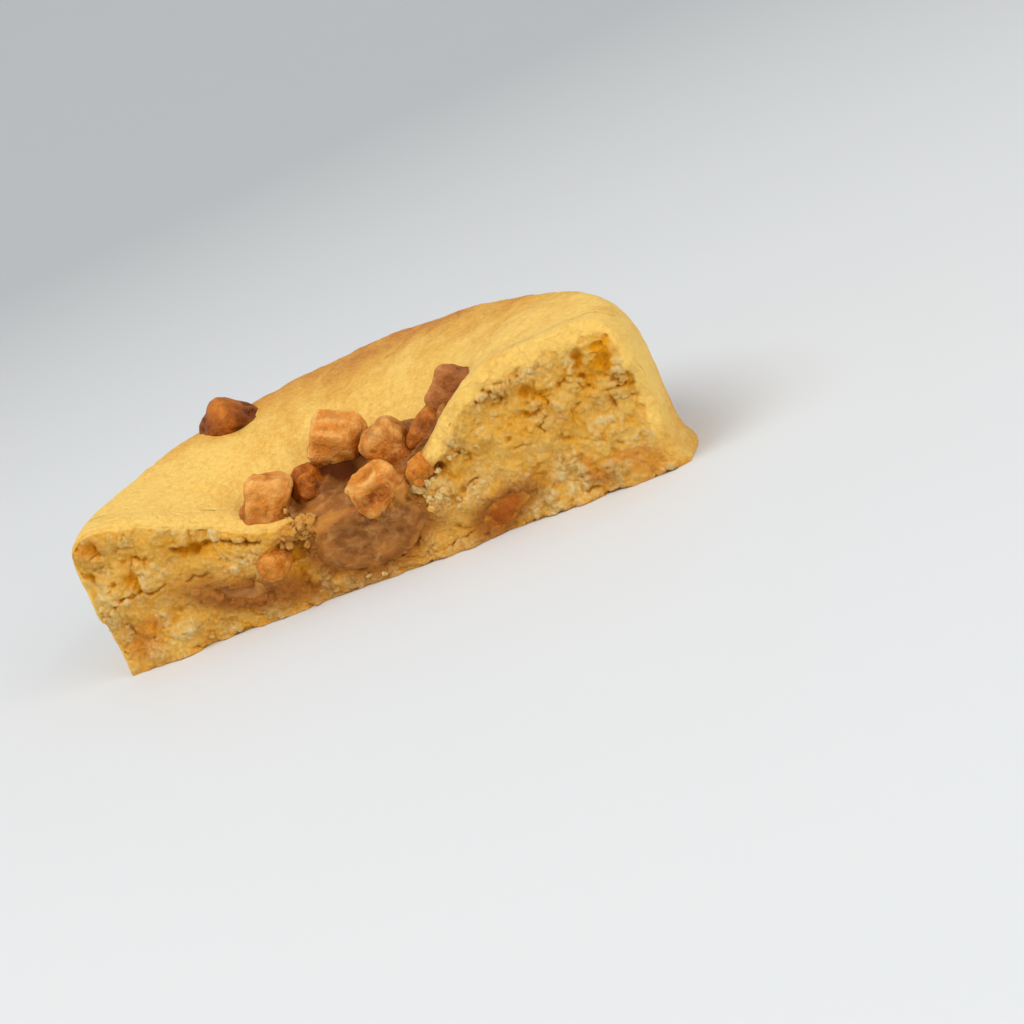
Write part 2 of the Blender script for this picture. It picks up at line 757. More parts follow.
@dataclass(frozen=True)
class Lens:
    """A half egg of caramel behind the break: middle, half axes along X, Y and Z, and lean about Y."""

    name: str
    at: tuple[float, float, float]
    half: tuple[float, float, float]
    lean: float
    rim_dip: float  # how far its border lies behind the break
    proud: float  # how far its middle stands out of the break
    follow: float  # how much of the break's broad lumps its front takes up

    def reach(self, angle: np.ndarray) -> np.ndarray:
        """How uneven the outline is: one plus a tenth of noise taken round the oval.

        Args:
            angle: directions round the oval, in radians.

        Returns:
            One factor for each direction.
        """
        across = np.cos(angle) * self.half[0] / 3.5 + self.at[0]
        up = np.sin(angle) * self.half[2] / 3.5
        return 1 + 0.1 * ripple(np.stack([across, 0 * angle, up], axis=-1), 1.0, 71)

    def ratio(self, x: np.ndarray, z: np.ndarray) -> np.ndarray:
        """A place of the break as a share of the way from the middle to the outline: 1 on the outline.

        Args:
            x: places along the break, in mm.
            z: heights of the places, in mm.

        Returns:
            One share for each place.
        """
        turn = math.radians(self.lean)
        dx, dz = x - self.at[0], z - self.at[2]
        across = (dx * math.cos(turn) - dz * math.sin(turn)) / self.half[0]
        along = (dx * math.sin(turn) + dz * math.cos(turn)) / self.half[2]
        return np.hypot(across, along) / self.reach(np.arctan2(along, across))

    def skin(self, rings: int, slices: int) -> Skin:
        """The closed surface: a shallow front with its border dipped, and half an egg behind it.

        Args:
            rings: rows of faces from the middle of the front to its border.
            slices: faces round it.

        Returns:
            The surface, with the value "rim" that is 1 at the front's border.
        """
        shares, angles = np.linspace(0, 1, rings + 1), np.linspace(0, 2 * math.pi, slices + 1)
        share, angle = np.meshgrid(shares, angles, indexing="ij")
        angle[:, -1] = 0
        wide = self.reach(angle)
        turn = math.radians(self.lean)

        def turned(across: np.ndarray, y: np.ndarray, along: np.ndarray) -> np.ndarray:
            """Leans a local place about Y and moves it to the middle.

            Args:
                across: places along the oval's length.
                y: places away from the break.
                along: places along its height.

            Returns:
                The places in the cookie's frame.
            """
            x = across * math.cos(turn) + along * math.sin(turn) + self.at[0]
            z = -across * math.sin(turn) + along * math.cos(turn) + self.at[2]
            return np.stack([x, y, z], axis=-1)

        across, along = self.half[0] * wide * np.cos(angle), self.half[2] * wide * np.sin(angle)
        dip = self.rim_dip * share**5 - self.proud * (1 - share**2)
        front = turned(across * share, dip, along * share)
        tilt = share * math.pi / 2
        deep = self.rim_dip + self.half[1] * np.sin(tilt)
        behind = turned(across * np.cos(tilt), deep, along * np.cos(tilt))
        front[..., 1] -= self.follow * FORM.lumps(front[..., 0], front[..., 2])
        behind[..., 1] -= self.follow * FORM.lumps(behind[..., 0], behind[..., 2]) * np.cos(tilt) ** 8
        surface = Skin.weld([front.swapaxes(0, 1), behind.swapaxes(0, 1)])
        rim = np.clip(self.ratio(surface.points[:, 0], surface.points[:, 2]), 0, 1)
        surface.values["rim"] = np.where(surface.sheet == 0, rim, 1)
        return surface


CORE = Lens("caramel_core", (-1.0, 0, 7.0), (8.8, 13.0, 5.4), 0, 0.8, 0.5, 0.6)
PATCH = Lens("caramel_patch", (17.4, 0, 3.1), (4.4, 4.5, 1.9), -24, 0.3, 0.05, 1.0)
SEAM = Lens("caramel_seam", (-20.4, 0, 5.4), (7.4, 5.0, 1.6), 21, 0.5, -0.25, 1.0)


# The dough


@dataclass
class Skirting:
    """The edge of the break: how far a place lies from it, and the smooth crust that laps over it."""

    top_band: tuple[float, float] = (0.5, 1.8)  # width of the lapped crust along the top, left and right
    side_band: tuple[float, float] = (0.4, 1.5)  # the same along the left and the right side

    def __post_init__(self) -> None:
        """Takes the outline of the broken face: its top over x, and its sides over z."""
        across, up = np.linspace(-1, 1, 801), np.linspace(0, 1, 101)
        self.top = FORM.face(across, np.ones(801))
        self.left, self.right = FORM.face(-np.ones(101), up), FORM.face(np.ones(101), up)

    def under(self, x: np.ndarray, z: np.ndarray) -> np.ndarray:
        """How far a place lies below the top edge."""
        return np.interp(x, self.top[:, 0], self.top[:, 2]) - z

    def inside(self, x: np.ndarray, z: np.ndarray) -> tuple[np.ndarray, np.ndarray]:
        """How far a place lies in from the left side and from the right side."""
        left = x - np.interp(z, self.left[:, 2], self.left[:, 0])
        return left, np.interp(z, self.right[:, 2], self.right[:, 0]) - x

    def lip(self, x: np.ndarray, z: np.ndarray) -> np.ndarray:
        """Where smooth crust laps over the break, 1 there, with a frayed border.

        The distance to each edge is taken as a share of its band's width, noise is added to the least of
        them, and a smoothstep about 1 is drawn on it. There is little of it where the edge has crumbled,
        beside the core.

        Args:
            x: places along the break, in mm.
            z: heights of the places, in mm.

        Returns:
            One share for each place.
        """
        left, right = self.inside(x, z)
        wide = self.top_band[0] + (self.top_band[1] - self.top_band[0]) * smooth(x, 5, 13)
        sides = np.minimum(left / self.side_band[0], right / self.side_band[1])
        least = np.minimum(self.under(x, z) / wide, sides)
        flat = np.stack([x, 0 * x, z], axis=-1)
        frayed = smooth(least + 0.4 * ripple(flat, 2.6, 111) + 0.3 * cloud(flat, 1.0, 113, 2), 1.2, 0.75)
        return frayed * (1 - spot(x, z, (-9.5, 12.0, 3.0, 2.5)))

    def rounding(self, x: np.ndarray, z: np.ndarray) -> np.ndarray:
        """How far the break falls back at its edges, in mm: squares of the distances short of a reach.

        Args:
            x: places along the break, in mm.
            z: heights of the places, in mm.

        Returns:
            One distance for each place.
        """
        left, right = self.inside(x, z)
        top = np.clip(1 - self.under(x, z) / 2.4, 0, 1) ** 2 * (0.35 + 0.85 * smooth(x, 4, 14))
        sides = 0.5 * np.clip(1 - left / 1.2, 0, 1) ** 2 + 0.8 * np.clip(1 - right / 2.0, 0, 1) ** 2
        return np.minimum(top + sides, 1.3)


SKIRTING = Skirting()
CREASES = (  # fine folds and cracks of the crust, as lines of places seen from above
    ((-28.6, 11.5), (-27.2, 11.7), (-25.6, 11.3), (-23.5, 11.0), (-22.2, 10.1), (-21.4, 9.4)),
    ((-22.9, 1.2), (-21.4, 1.9), (-20.1, 1.5), (-18.6, 2.4), (-17.2, 2.2)),
    ((22.0, 21.0), (24.0, 24.0), (27.5, 27.0), (31.0, 28.0)),
    ((20.6, 11.2), (21.6, 14.0), (21.2, 18.0), (23.5, 22.0)),
)


def streaks(points: np.ndarray, number: float, seed: int) -> np.ndarray:
    """Streaks that run into the bowl: noise over the direction from its middle and the distance to it.

    Args:
        points: places in mm.
        number: how many streaks there are to a radian.
        seed: picks the pattern.

    Returns:
        One number from -1 to 1 for each place.
    """
    x, y = points[:, 0], points[:, 1]
    far = np.hypot(x, y + 6)
    return cloud(np.stack([np.arctan2(y + 6, x) * number, far / 6, 0 * far], axis=-1), 1.0, seed, 2)


def crust_grain(points: np.ndarray) -> np.ndarray:
    """The baked skin's relief in mm: soft waves, streaks running into the bowl, pores and creases.

    Args:
        points: places in mm.

    Returns:
        How far each place stands out.
    """
    x, y = points[:, 0], points[:, 1]
    height = 0.16 * cloud(points, 3.4, 41) + 0.12 * cloud(points, 1.1, 43, 2)
    height = height + 0.12 * streaks(points, 14, 53)
    bent = np.stack([ripple(points, 1.3, 61), ripple(points, 1.3, 62)], axis=-1)
    flat = np.stack([x, y], axis=-1) + 0.35 * bent
    for line in CREASES:
        height -= 0.34 * np.exp(-((path_distance(flat, np.array(line)) / 0.32) ** 2))
    return height * smooth(points[:, 2], 0.0, 0.8)


def baking(points: np.ndarray) -> np.ndarray:
    """How browned the outside is, 0 to 1: more to the back, down the side, and in patches and streaks.

    Args:
        points: places in mm.

    Returns:
        One share for each place.
    """
    x, y, z = points.T
    rim = smooth(np.hypot(x / FORM.half_cut, y / FORM.depth), 0.9, 1.0)
    brown = 0.02 + 0.8 * smooth(y, 12, 44) + 0.26 * cloud(points, 10.0, 81) + 0.12 * cloud(points, 2.4, 83)
    brown += 0.22 * streaks(points, 9, 87) + 0.12 * streaks(points, 24, 89)
    paler = 0.2 * np.exp(-np.maximum(y, 0) / 5) * smooth(x, 25, -5)
    return np.clip(brown + 0.42 * rim * smooth(z, 19, 4) - paler, 0, 1)


def soaking(x: np.ndarray, y: np.ndarray) -> np.ndarray:
    """Where caramel has run onto the crust around its cubes: the greatest of a bell curve about each."""
    around = [np.exp(-(((x - c.at[0]) / 4.6) ** 2) - ((y - c.at[1]) / 4.6) ** 2) for c in CUBES]
    return 0.45 * np.clip(np.max(around, axis=0) * 1.5 - 0.5, 0, 1)


@dataclass
class Crust:
    """The golden outside: top, side and underside, with a cap hidden well behind the broken face."""

    columns: int = 340
    rows: int = 120
    courses: int = 40
    set_back: float = 1.7  # how far the crust's edge lies behind the break
    fade: float = 4.5  # how far behind the break that is felt
    hidden: float = 2.6  # how much deeper the cap lies than the crust's edge

    def surface(self) -> Skin:
        """The closed form without its fine relief: top, side, front cap and underside welded together.

        Returns:
            The surface, with its sheets numbered in that order.
        """
        s, t = np.linspace(-1, 1, self.columns + 1), np.linspace(0, 1, self.rows + 1) ** 1.15
        up = np.linspace(0, 1, self.courses + 1)
        u, v = half_disc(*np.meshgrid(s, t, indexing="ij"))
        rim_u = np.concatenate([u[0], u[1:-1, -1], u[-1, ::-1]])[None, :]
        rim_v = np.concatenate([v[0], v[1:-1, -1], v[-1, ::-1]])[None, :]
        wall = FORM.side(rim_u, rim_v, up[:, None])
        cap = FORM.face(*np.meshgrid(s, up, indexing="ij"))
        loop = np.concatenate([wall[0], cap[::-1, 0][1:]])
        middle = np.array([0.0, 20.0, 0.0])
        shares = np.array([0.0, 0.3, 0.6, 0.85, 0.96, 1.0])
        base = middle + shares[:, None, None] * (loop - middle)
        sheets = [FORM.crust(u, v), wall, cap, base.swapaxes(0, 1)]
        return Skin.weld([FORM.swollen(sheet) for sheet in sheets])

    def build(self, finish: bpy.types.Material) -> bpy.types.Object:
        """Shapes the crust and makes its object.

        Args:
            finish: the dough's material.

        Returns:
            The object.
        """
        skin = self.surface()
        x, y, z = skin.points.T
        cap = (skin.sheet == 2) & (y < 0.01)
        tucked = 0.3 * np.exp(-((y / 0.45) ** 2)) * (z > 0.01)
        ragged = self.set_back + 0.25 * ripple(skin.points, 3.6, 71) + 0.2 * ripple(skin.points, 1.3, 73)
        shift = (ragged - FORM.lumps(x, z) + 0.5 * FORM.melt(x)) * np.exp(-((y / self.fade) ** 2))
        skin.points = FORM.slid(skin.points, shift)
        base = skin.points.copy()
        skin.swell((crust_grain(base) - tucked) * (skin.sheet < 2))
        left, right = SKIRTING.inside(x, z)
        buried = np.minimum(np.minimum(left, right), np.minimum(SKIRTING.under(x, z), z))
        skin.points[:, 1] += cap * self.hidden * smooth(buried, 0.2, 1.4)
        skin.points[:, 2] -= FORM.sunk(x, base[:, 1]) * smooth(z, 9.0, 11.5)
        skin.rest_on_floor()
        nothing = np.zeros(len(x))
        stain = soaking(base[:, 0], base[:, 1])
        skin.values.update(bake=baking(base), inner=nothing, pit=nothing, pale=nothing, stain=stain)
        skin.values["tone"] = np.clip(0.5 + 0.35 * cloud(base, 1.6, 85), 0, 1)
        return skin.piece("crust", "dough", ("dough",), finish)


def plates(points: np.ndarray, size: float, step: float, seed: int) -> tuple[np.ndarray, np.ndarray]:
    """Noise cut into terraces, as crumb that has torn in flakes.

    Args:
        points: places in mm; the flakes are drawn out along X.
        size: the noise's size in mm.
        step: a terrace's height; the noise runs from -1 to 1.
        seed: picks the pattern.

    Returns:
        The terraced height, and 1 along the flakes' edges.
    """
    level = cloud(points * np.array([0.6, 1, 1]), size, seed, 4) / step
    part = level - np.floor(level)
    return (np.floor(level) + smooth(part, 0.3, 0.7)) * step, np.exp(-(((part - 0.42) / 0.16) ** 2))


@dataclass
class Crumb:
    """The broken face: torn flakes of crumb with pits, tears, heaps of fine crumbs and caramel beds."""

    columns: int = 560
    courses: int = 140
    rows_back: int = 17
    reach_back: float = 5.6
    deepest: float = 2.3  # the most that hollows press the face back, in mm
    give: float = 1.9  # how deep hollows get before that limit is felt
    flake: float = 0.6  # height of the flakes
    torn: float = 0.36  # height of the torn crumb
    shred: tuple[float, float] = (0.32, 0.16)  # height of the fine shreds, and what a heap adds

    def surface(self) -> tuple[Skin, np.ndarray]:
        """The closed form without its relief, and how far back each point lies.

        The front is the face's grid. Its border runs back on the outside's own surfaces, over the plan
        coordinates of a half disc. Columns of long faces and two fans close the back. The border's last
        rows dive under the crust, and are drawn in at the foot and lifted off the floor.

        Returns:
            The surface, and one distance behind the break for each point, in mm.
        """
        s, up = np.linspace(-1, 1, self.columns + 1), np.linspace(0, 1, self.courses + 1)
        front = FORM.face(*np.meshgrid(s, up, indexing="ij"))
        v = (self.reach_back * np.linspace(0, 1, self.rows_back + 1) / FORM.depth)[:, None]
        across = np.sqrt(1 - v * v)
        top = FORM.swollen(FORM.crust(s * across, v + 0 * s))
        bottom = FORM.swollen(FORM.base(s * across, v + 0 * s))
        left = FORM.swollen(FORM.side(-across + 0 * up, v + 0 * up, up + 0 * v))
        right = FORM.swollen(FORM.side(across + 0 * up, v + 0 * up, up + 0 * v))
        cap = np.stack([bottom[-1], top[-1]])
        ends = [side[-1] for side in (left, right)]
        fans = [np.stack([np.broadcast_to(end[:1], end.shape), end]) for end in ends]
        skin = Skin.weld([
            front, top.swapaxes(0, 1), bottom, left.swapaxes(0, 1), right,
            cap, fans[0].swapaxes(0, 1), fans[1],
        ])
        back = np.maximum(skin.points[:, 1], 0)
        low = skin.points[:, 2] < 0.01
        skin.swell((0.06 * smooth(back, 0, 0.5) - 0.8 * smooth(back, 4.4, 5.6)) * (1 - low))
        skin.points[:, 1] = np.where(back > 4, back, skin.points[:, 1])
        skin.points[:, 0] *= 1 - 0.055 * smooth(back, 4.4, 5.4) * smooth(skin.points[:, 2], 6, 0)
        skin.points[:, 2] += 0.25 * smooth(back, 2.5, 5.6) * low
        return skin, back

    def heaps(self, base: np.ndarray, smeared: np.ndarray) -> np.ndarray:
        """Where fine pale crumbs lie, 0 to 1: in patches of noise, and thick on the named mounds.

        Args:
            base: places on the break before its relief, in mm.
            smeared: how smooth and dense the crumb is there, 0 to 1.

        Returns:
            One share for each place.
        """
        x, z = base[:, 0], base[:, 2]
        mounds = np.clip(sum(spot(x, z, place) for place in MOUNDS), 0, 1)
        patches = smooth(cloud(base, 3.0, 421), 0.0, 0.3) * (1 - 0.7 * smeared)
        return np.clip(patches * 0.85 + mounds, 0, 1)

    def tears(self, base: np.ndarray) -> np.ndarray:
        """Narrow tears, 1 in them: where drawn-out noise crosses zero, in some parts of the face only.

        Args:
            base: places on the break before its relief, in mm.

        Returns:
            One share for each place.
        """
        bent = base + 0.4 * wander(base, 1.1, 431)
        drawn = bent * np.array([0.5, 1, 1]) + bent[:, 2:] * np.array([0.16, 0, 0])
        line = np.exp(-((ripple(drawn, 2.3, 441) / 0.13) ** 2))
        return line * smooth(ripple(base, 2.9, 443), 0.0, 0.4)

    def hollows(self, flat: np.ndarray, lip: np.ndarray) -> tuple[np.ndarray, np.ndarray]:
        """The pits' depth in mm, less under the lapped crust, and the long crack, 1 in it.

        Args:
            flat: places on the break before its relief, in mm.
            lip: where smooth crust laps over the break, 0 to 1.

        Returns:
            The depth and the share in the crack, for each place.
        """
        bent = [0.7 * cloud(flat, 1.3, 401 + n, 2) for n in range(2)]
        hollow = sum(pit.depth(flat[:, 0] + bent[0], flat[:, 2] + bent[1]) for pit in PITS)
        line = flat + np.stack([bent[0], 0 * bent[0], bent[1]], axis=-1)
        return hollow * (1 - 0.9 * lip), np.exp(-((path_distance(line, CRACK) / 0.42) ** 2))

    def build(self, finish: bpy.types.Material) -> bpy.types.Object:
        """Shapes the broken face and makes its object.

        Broad lumps stand out, the edges are rounded, and pits, tears, the long crack, holes and the
        caramel's beds are pressed back, all by one slide along the outside, which fades out over a reach
        that is always longer than the slide. Flakes, torn crumb and a fine grain are laid on along the
        normals. The crust's own relief takes over where the surface turns onto the outside, and ends
        before the border.

        Args:
            finish: the dough's material.

        Returns:
            The object.
        """
        skin, back = self.surface()
        base = skin.points.copy()
        flat = base * np.array([1, 0, 1])
        x, z = base[:, 0], base[:, 2]
        near = np.exp(-(back**2))
        smeared = np.clip(sum(spot(x, z, place) for place in COMPACT), 0, 1)
        lip = SKIRTING.lip(x, z)
        rugged = (1 - 0.6 * smeared) * (1 - 0.92 * lip)
        heap = self.heaps(flat, smeared) * (1 - lip)
        melt = 1 - 0.8 * FORM.melt(x) * smooth(z, 9.5, 12.0)
        flakes, flake_edge = plates(flat + 0.25 * wander(flat, 0.8, 453), 3.8, 0.3, 451)
        mid, fine = grains(flat, 1.15, 311, 0.6), grains(flat, 0.55, 331, 0.5)
        grainy = (0.7 + 0.4 * heap) * (1 - 0.35 * smeared) * (1 - 0.9 * lip)
        hollow, crack = self.hollows(flat, lip)
        tear = self.tears(flat) * (1 - lip) * (1 - 0.3 * smeared)
        holes = smooth(cloud(flat * np.array([0.8, 1, 1]), 1.6, 411), 0.25, 0.6) * rugged
        holes *= 0.4 + 0.6 * smooth(x, 5, 20) * smooth(z, 9, 14)
        bed, stain = self.beds(base)
        depth = 0.7 * hollow + 1.7 * crack + 0.7 * tear + 0.6 * holes + bed
        pressed = self.deepest * (1 - np.exp(-depth / self.give))
        moved = SKIRTING.rounding(x, z) - FORM.lumps(x, z) + pressed
        reach = np.maximum(2.4, 1.25 * np.abs(moved))
        skin.points = FORM.slid(skin.points, moved * np.exp(-((back / reach) ** 2)))
        placed = skin.points.copy()
        torn = cloud(flat * np.array([0.8, 1, 1]), 1.9, 361, 5)
        shred = cloud(flat, 0.6, 363, 3)
        small = rugged * self.torn * torn + grainy * (self.shred[0] + self.shred[1] * heap) * shred
        small += grainy * (0.1 * mid.dome - 0.06 * mid.seam + 0.14 * fine.dome - 0.06 * fine.seam)
        level = (small - 0.1 * grainy) / 0.24
        skin.swell(rugged * self.flake * flakes * near * melt)
        skin.swell((small + grainy * (0.3 * heap - 0.05)) * near * melt)
        skin.points[:, 2] -= FORM.sunk(x, back) * smooth(z, 9.0, 11.5)
        skin.swell(crust_grain(placed) * smooth(back, 0.2, 0.9) * smooth(back, 5.2, 4.6) * (z > 0.01))
        skin.rest_on_floor()
        shown = hollow / 1.4 + 0.95 * crack + 0.8 * tear + 0.75 * holes + 0.45 * flake_edge * rugged
        creases = 0.08 * mid.seam * grainy + 0.9 * smooth(level, -0.6, -1.7) * (1 - lip)
        pit = np.clip(np.clip(shown, 0, 1) * near + creases * near, 0, 1)
        raised = heap * (0.3 + 0.5 * fine.tone) + 0.9 * smooth(level, 0.3, 1.5)
        self.colour(skin, base, back, pit, stain, raised)
        skin.values["inner"] = (1 - lip) * np.exp(-((back / 0.4) ** 2))
        return skin.piece("crumb", "dough", ("dough",), finish)

    def beds(self, base: np.ndarray) -> tuple[np.ndarray, np.ndarray]:
        """How far the crumb gives way to the lenses, in mm, and how much caramel has soaked in by them.

        Args:
            base: places on the break before its relief, in mm.

        Returns:
            The depth and the share that is soaked, for each place.
        """
        x, z = base[:, 0], base[:, 2]
        bed, stain = np.zeros(len(x)), np.zeros(len(x))
        for lens, shown, deep, reach, amount in (
            (CORE, 0.97, 1.9, 0.3, 0.85), (PATCH, 0.98, 0.9, 0.6, 0.9), (SEAM, 0.7, 0.9, 0.9, 0.75),
        ):
            ratio = lens.ratio(x, z)
            torn = ratio + 0.12 * ripple(base, 2.3, 341) + 0.1 * cloud(base, 0.9, 343, 2)
            bed = np.maximum(bed, smooth(torn, shown, shown - 0.3) * deep)
            stain = np.maximum(stain, amount * np.exp(-((np.maximum(ratio - 0.9, 0) / reach) ** 2)))
        return bed, stain

    def colour(
        self,
        skin: Skin,
        base: np.ndarray,
        back: np.ndarray,
        pit: np.ndarray,
        stain: np.ndarray,
        raised: np.ndarray,
    ) -> None:
        """Sets the named values that the dough's material reads; behind the edge they are the crust's own.

        Args:
            skin: the surface, which gets the values.
            base: its points before the relief.
            back: how far each point lies behind the break, in mm.
            pit: how deep in a hollow a point lies, 0 to 1.
            stain: how much caramel has soaked in, 0 to 1.
            raised: where fine crumbs and torn edges stand up, pale, 0 and up.
        """
        x, z = base[:, 0], base[:, 2]
        flat = base * np.array([1, 0, 1])
        skin.values["pit"] = pit
        front = np.exp(-(back**2))
        bright = 0.35 * smooth(x, 26, 38) + 0.3 * smooth(z, 13, 17) * smooth(x, 12, 20)
        bright = bright + 0.3 * smooth(x, -24, -34)
        tone = 0.45 + bright + 0.5 * cloud(flat, 4.5, 461) + 0.35 * cloud(flat, 1.2, 463)
        skin.values["tone"] = np.clip(tone, 0, 1)
        browned = (  # x, z, half width and height
            (-37.5, 3.8, 2.6, 2.4), (-35.0, 6.0, 1.6, 1.5), (31.4, 2.6, 1.6, 1.8), (38.0, 2.0, 2.6, 1.6),
            (-38.2, 19, 2, 1.4), (30.6, 4.8, 0.8, 1.6), (36.0, 4.2, 2.4, 0.9),
        )
        foot = 0.3 * smooth(z, 1.2, 0)
        spots = (1 + 0.6 * cloud(flat, 1.2, 467)) * sum(spot(x, z, place) for place in browned)
        on_break = np.clip(spots + foot, 0, 1) * front
        outside = 1 - front * (1 - SKIRTING.lip(x, z))
        skin.values["bake"] = np.clip(on_break + baking(base) * outside, 0, 1)
        soaked = (  # x, z, half width, half height and amount
            (-18.5, 4.6, 8.0, 2.6, 0.35), (-8.5, 9.2, 4.0, 3.0, 0.5), (11.0, 4.2, 5.5, 3.4, 0.22),
            (0, 1.2, 9, 1.0, 0.15), (11.5, 11.9, 1.8, 1.0, 0.7), (7.6, 11.6, 1.6, 1.2, 0.4),
        )
        extra = sum(amount * spot(x, z, (cx, cz, w, h)) for cx, cz, w, h, amount in soaked)
        stained = np.clip(stain + extra * (1 + 0.5 * cloud(flat, 1.4, 465)), 0, 1)
        skin.values["stain"] = stained * front + soaking(x, back) * (1 - front)
        skin.values["pale"] = np.clip(raised * (1 - 0.5 * stain), 0, 1)


# The caramel


class Softness(Enum):
    """How a lump of caramel has taken the heat, which sets its look and how crumpled it is."""

    FIRM = "firm"
    DARK = "dark"
    DULL = "dull"
    MELTED = "melted"
    CRUMBLY = "crumbly"


CUBE_POWER = 4.5  # a cube's form: the sum of its coordinates raised to this is one
CUBE_CLOSING = 0.9  # how much closer a cube's grid lines lie towards its edges, 0 to 1


@dataclass(frozen=True)
class Cube:
    """A caramel cube, or a lump made in the same way, in mm."""

    name: str
    at: tuple[float, float, float]  # its middle
    size: tuple[float, float, float]
    turn: tuple[float, float, float]  # degrees about X, Y and Z
    crumple: float  # height of its broad folds
    softness: Softness
    fuller: float = 0.0  # how far its whole surface is moved out
    darker: float = 0.0  # what is added to the share of its dark colour

    def matrix(self) -> np.ndarray:
        """The turns about X, about the turned Y and about the twice turned Z, in this order."""
        turns = [np.array(Matrix.Rotation(math.radians(a), 3, axis)) for a, axis in zip(self.turn, "XYZ")]
        return turns[0] @ turns[1] @ turns[2]

    def skin(self, facets: int = 34) -> Skin:
        """The cube's surface.

        A box's grid is drawn onto a rounded box. Broad dents, folds and a fine grain are laid on it, and
        its foot spreads on what it lies on.

        Args:
            facets: faces along an edge.

        Returns:
            The surface, with the values "edge" and "low".
        """
        line = np.sin(np.linspace(-1, 1, facets + 1) * math.pi / 2 * CUBE_CLOSING)
        skin = box(line / math.sin(math.pi / 2 * CUBE_CLOSING))
        corners = skin.points
        unit = corners * (np.abs(corners) ** CUBE_POWER).sum(axis=1, keepdims=True) ** (-1 / CUBE_POWER)
        half = np.array(self.size) / 2
        place = unit * half + np.array(self.at) * 3
        pinch = 1 - 0.75 * smooth(np.abs(corners).min(axis=1), 0.4, 0.9)
        rough = 5.0 if self.softness is Softness.CRUMBLY else 1.2
        fold = (0.5 - 2 * np.abs(ripple(place, 3.2, 6))) * pinch
        local = unit * (half + (0.4 * ripple(place, 4.0, 5) + self.crumple * fold)[:, None])
        skin.points = local @ self.matrix().T + np.array(self.at)
        crease = 0.5 - 2 * np.abs(ripple(place, 1.7, 91))
        skin.swell(0.16 * cloud(place, 2.2, 93) + 0.18 * crease)
        skin.swell(rough * (0.09 * cloud(place, 0.9, 97) + 0.05 * grains(place, 0.7, 99).dome))
        ground = FORM.ground(skin.points[:, 0], np.maximum(skin.points[:, 1], 0))
        over = skin.points[:, 2] - ground
        spread = 0.1 if self.softness is Softness.DARK else 0.4
        skin.swell(self.fuller + spread * smooth(over, 1.1, -0.4))
        along_edge = smooth(np.sort(np.abs(corners), axis=1)[:, 1], 0.6, 0.97)
        edge = 0.55 * along_edge + 0.5 * smooth(fold, -0.1, 0.5) + 0.25 * smooth(crease, 0, 0.5)
        skin.values["edge"] = np.clip(edge, 0, 1)
        low = 0.8 * smooth(over, 3.2, 0.1) + 0.6 * smooth(fold, -0.2, -1.0)
        low = low + 0.4 * smooth(crease, -0.2, -1.2)
        skin.values["low"] = np.clip(low + self.darker, 0, 1)
        return skin


CUBES = (
    Cube("cube_front", (2.3, 2.2, 11.5), (6.4, 6.2, 6.2), (10, -16, 29), 0.45, Softness.FIRM, 0.0, -0.15),
    Cube("cube_sunk", (-7.7, 8.3, 12.9), (6.4, 6.2, 6.0), (6, 35, 28), 0.55, Softness.DARK),
    Cube("cube_right", (5.0, 8.2, 14.6), (7.8, 7.4, 5.6), (-18, 58, 23), 0.6, Softness.FIRM, 0.15, 0.55),
    Cube("cube_top", (-2.9, 11.4, 17.8), (6.9, 6.4, 6.8), (18, 19, -17), 0.3, Softness.FIRM),
    Cube("cube_left", (-13.7, 5.0, 14.9), (6.4, 6.4, 7.4), (-7, 26, 14), 0.3, Softness.FIRM),
    Cube("cube_crest", (16.0, 8.5, 18.7), (6.2, 5.6, 6.0), (-8, 44, -6), 0.05, Softness.DULL, 0.25),
    Cube("cube_rim", (-22.0, 29.1, 21.3), (7.0, 7.4, 6.8), (8, 43, 30), 0.26, Softness.DARK, 0.45, -0.1),
    Cube("caramel_slump", (11.3, 7.4, 15.2), (6.2, 7.6, 4.8), (0, -40, 0), 0.3, Softness.MELTED),
    Cube("caramel_chip", (8.9, 0.9, 12.3), (2.8, 2.8, 2.4), (10, -20, 15), 0.3, Softness.CRUMBLY),
)
TOFFEE = Cube("toffee_bit", (-15.3, 0.3, 7.5), (3.2, 3.0, 2.6), (5, 15, 20), 0.55, Softness.CRUMBLY)


